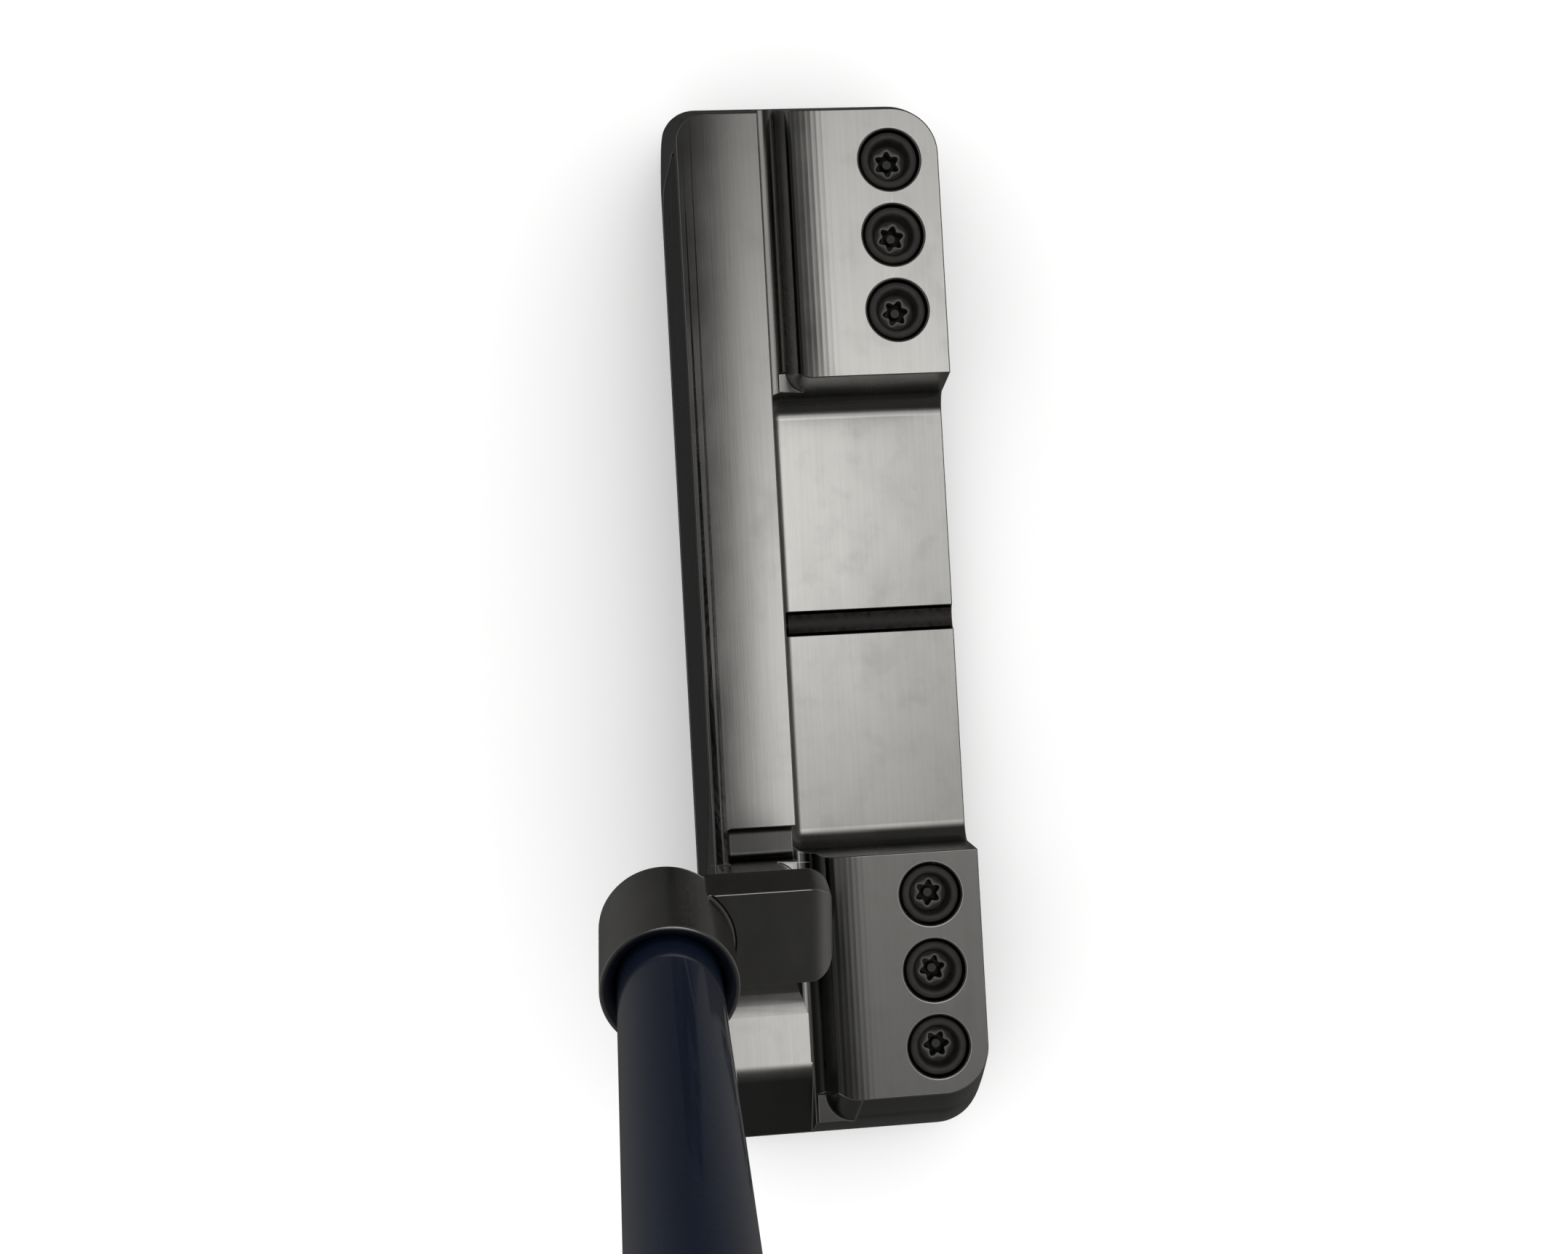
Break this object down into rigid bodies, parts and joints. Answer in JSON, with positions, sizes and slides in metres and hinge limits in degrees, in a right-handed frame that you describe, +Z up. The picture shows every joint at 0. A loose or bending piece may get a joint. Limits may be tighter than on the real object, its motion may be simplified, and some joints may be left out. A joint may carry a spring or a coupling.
{
  "type": "blade putter",
  "caption": "Milled blade putter with a plumber's neck, face insert, top weight screws in toe and heel bumpers, steel shaft and paddle grip.",
  "frame": {"origin": "middle of the flat of the sole", "axes": "+Z up with the sole on the ground, -Y towards the target (the face looks that way), -X toe, +X heel"},
  "size_m": [0.3776, 0.051, 0.8163],
  "materials": {
    "milled_steel": "fine milled stainless steel, satin, warm grey",
    "black_aluminium": "black anodised, milled with a fine pattern",
    "dark_polymer": "moulded dark elastomer, matte",
    "black_enamel": "black enamel fill, semi-gloss",
    "navy_coating": "dark navy glossy coating on steel",
    "paper_tape": "double-sided paper tape",
    "grip_rubber": "matte black rubber with a fine texture",
    "cap_plastic": "moulded black plastic",
    "black_oxide": "black oxide steel, satin"
  },
  "bodies": {
    "club": {"head_body": "milled_steel", "face_insert": "black_aluminium", "insert_backing": "dark_polymer", "sight_line": "black_enamel", "shaft": "navy_coating", "grip_tape": "paper_tape", "grip": "grip_rubber", "grip_cap": "cap_plastic"},
    "toe_weight_1": {"toe_weight_1": "black_oxide"},
    "toe_weight_2": {"toe_weight_2": "black_oxide"},
    "toe_weight_3": {"toe_weight_3": "black_oxide"},
    "heel_weight_1": {"heel_weight_1": "black_oxide"},
    "heel_weight_2": {"heel_weight_2": "black_oxide"},
    "heel_weight_3": {"heel_weight_3": "black_oxide"}
  },
  "joints": [
    {"name": "toe_weight_1_lift", "type": "slide", "parent": "club", "child": "toe_weight_1", "axis": [0, 0, 1], "range_m": [0, 0.01]},
    {"name": "toe_weight_2_lift", "type": "slide", "parent": "club", "child": "toe_weight_2", "axis": [0, 0, 1], "range_m": [0, 0.01]},
    {"name": "toe_weight_3_lift", "type": "slide", "parent": "club", "child": "toe_weight_3", "axis": [0, 0, 1], "range_m": [0, 0.01]},
    {"name": "heel_weight_1_lift", "type": "slide", "parent": "club", "child": "heel_weight_1", "axis": [0, 0, 1], "range_m": [0, 0.01]},
    {"name": "heel_weight_2_lift", "type": "slide", "parent": "club", "child": "heel_weight_2", "axis": [0, 0, 1], "range_m": [0, 0.01]},
    {"name": "heel_weight_3_lift", "type": "slide", "parent": "club", "child": "heel_weight_3", "axis": [0, 0, 1], "range_m": [0, 0.01]}
  ]
}
